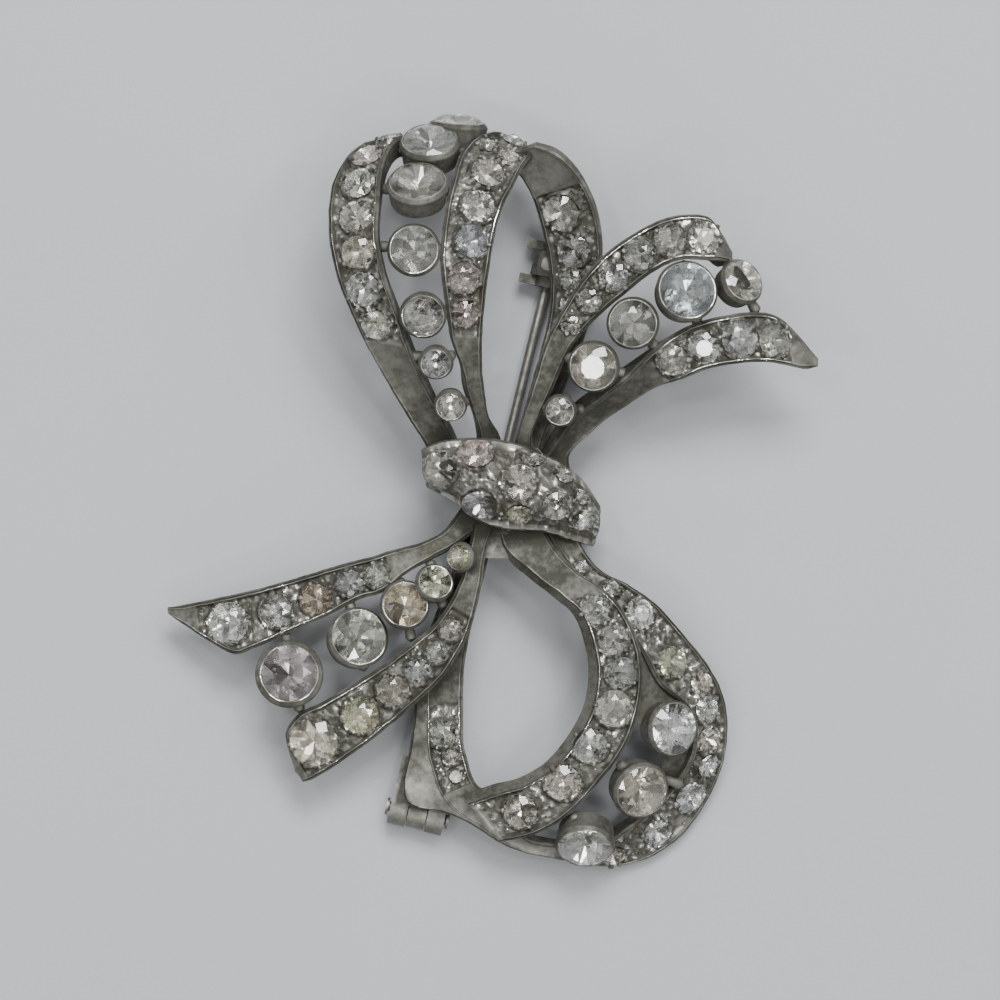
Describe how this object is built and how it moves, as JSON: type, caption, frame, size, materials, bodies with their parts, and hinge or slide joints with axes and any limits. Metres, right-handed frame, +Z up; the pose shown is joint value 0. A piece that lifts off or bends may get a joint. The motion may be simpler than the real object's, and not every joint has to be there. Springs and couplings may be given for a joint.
{
  "type": "bow brooch",
  "caption": "Openwork double bow brooch in tarnished cast metal, set with clear foiled stones in cups and channels, with a hinged pin and a turning safety catch.",
  "frame": {"origin": "middle of the bow's plan, on the plane it lies on", "axes": "+Z up out of the bow's front, +Y towards the upper loop, as the picture has it, +X to the right"},
  "size_m": [0.0522, 0.0608, 0.0148],
  "materials": {
    "tarnished_metal": "tarnished silver-grey plate, olive-grey in the recesses",
    "pin_metal": "worn steel wire",
    "clear_stones": "clear cut glass with an aged foil back"
  },
  "bodies": {
    "bow": {"bow_frame": "tarnished_metal", "upper_loop_stone_1": "clear_stones", "upper_loop_stone_2": "clear_stones", "upper_loop_stone_3": "clear_stones", "upper_loop_stone_4": "clear_stones", "upper_loop_stone_5": "clear_stones", "upper_loop_stone_6": "clear_stones", "upper_loop_stone_7": "clear_stones", "upper_tail_stone_1": "clear_stones", "upper_tail_stone_2": "clear_stones", "upper_tail_stone_3": "clear_stones", "upper_tail_stone_4": "clear_stones", "upper_tail_stone_5": "clear_stones", "lower_tail_stone_1": "clear_stones", "lower_tail_stone_2": "clear_stones", "lower_tail_stone_3": "clear_stones", "lower_tail_stone_4": "clear_stones", "lower_tail_stone_5": "clear_stones", "lower_loop_stone_1": "clear_stones", "lower_loop_stone_2": "clear_stones", "lower_loop_stone_3": "clear_stones", "upper_loop_left_stones": "clear_stones", "upper_loop_right_stones": "clear_stones", "upper_back_stones": "clear_stones", "upper_tail_top_stones": "clear_stones", "upper_tail_low_stones": "clear_stones", "lower_tail_top_stones": "clear_stones", "lower_tail_low_stones": "clear_stones", "lower_loop_inner_stones": "clear_stones", "lower_loop_outer_stones": "clear_stones", "lower_back_stones": "clear_stones", "knot_stones": "clear_stones", "hinge_base": "tarnished_metal", "hinge_rivet": "pin_metal", "catch_collar": "tarnished_metal"},
    "pin": {"pin_stem": "pin_metal"},
    "catch_barrel": {"catch_barrel": "tarnished_metal"}
  },
  "joints": [
    {"name": "pin_hinge", "type": "hinge", "parent": "bow", "child": "pin", "pos_m": [-0.006, -0.026, 0.0015], "axis": [-0.9715, 0.2368, 0], "range_deg": [0, 75]},
    {"name": "catch_turn", "type": "hinge", "parent": "bow", "child": "catch_barrel", "pos_m": [0.0048, 0.0183, 0.0015], "axis": [0.2368, 0.9715, 0], "range_deg": [0, 55]}
  ]
}
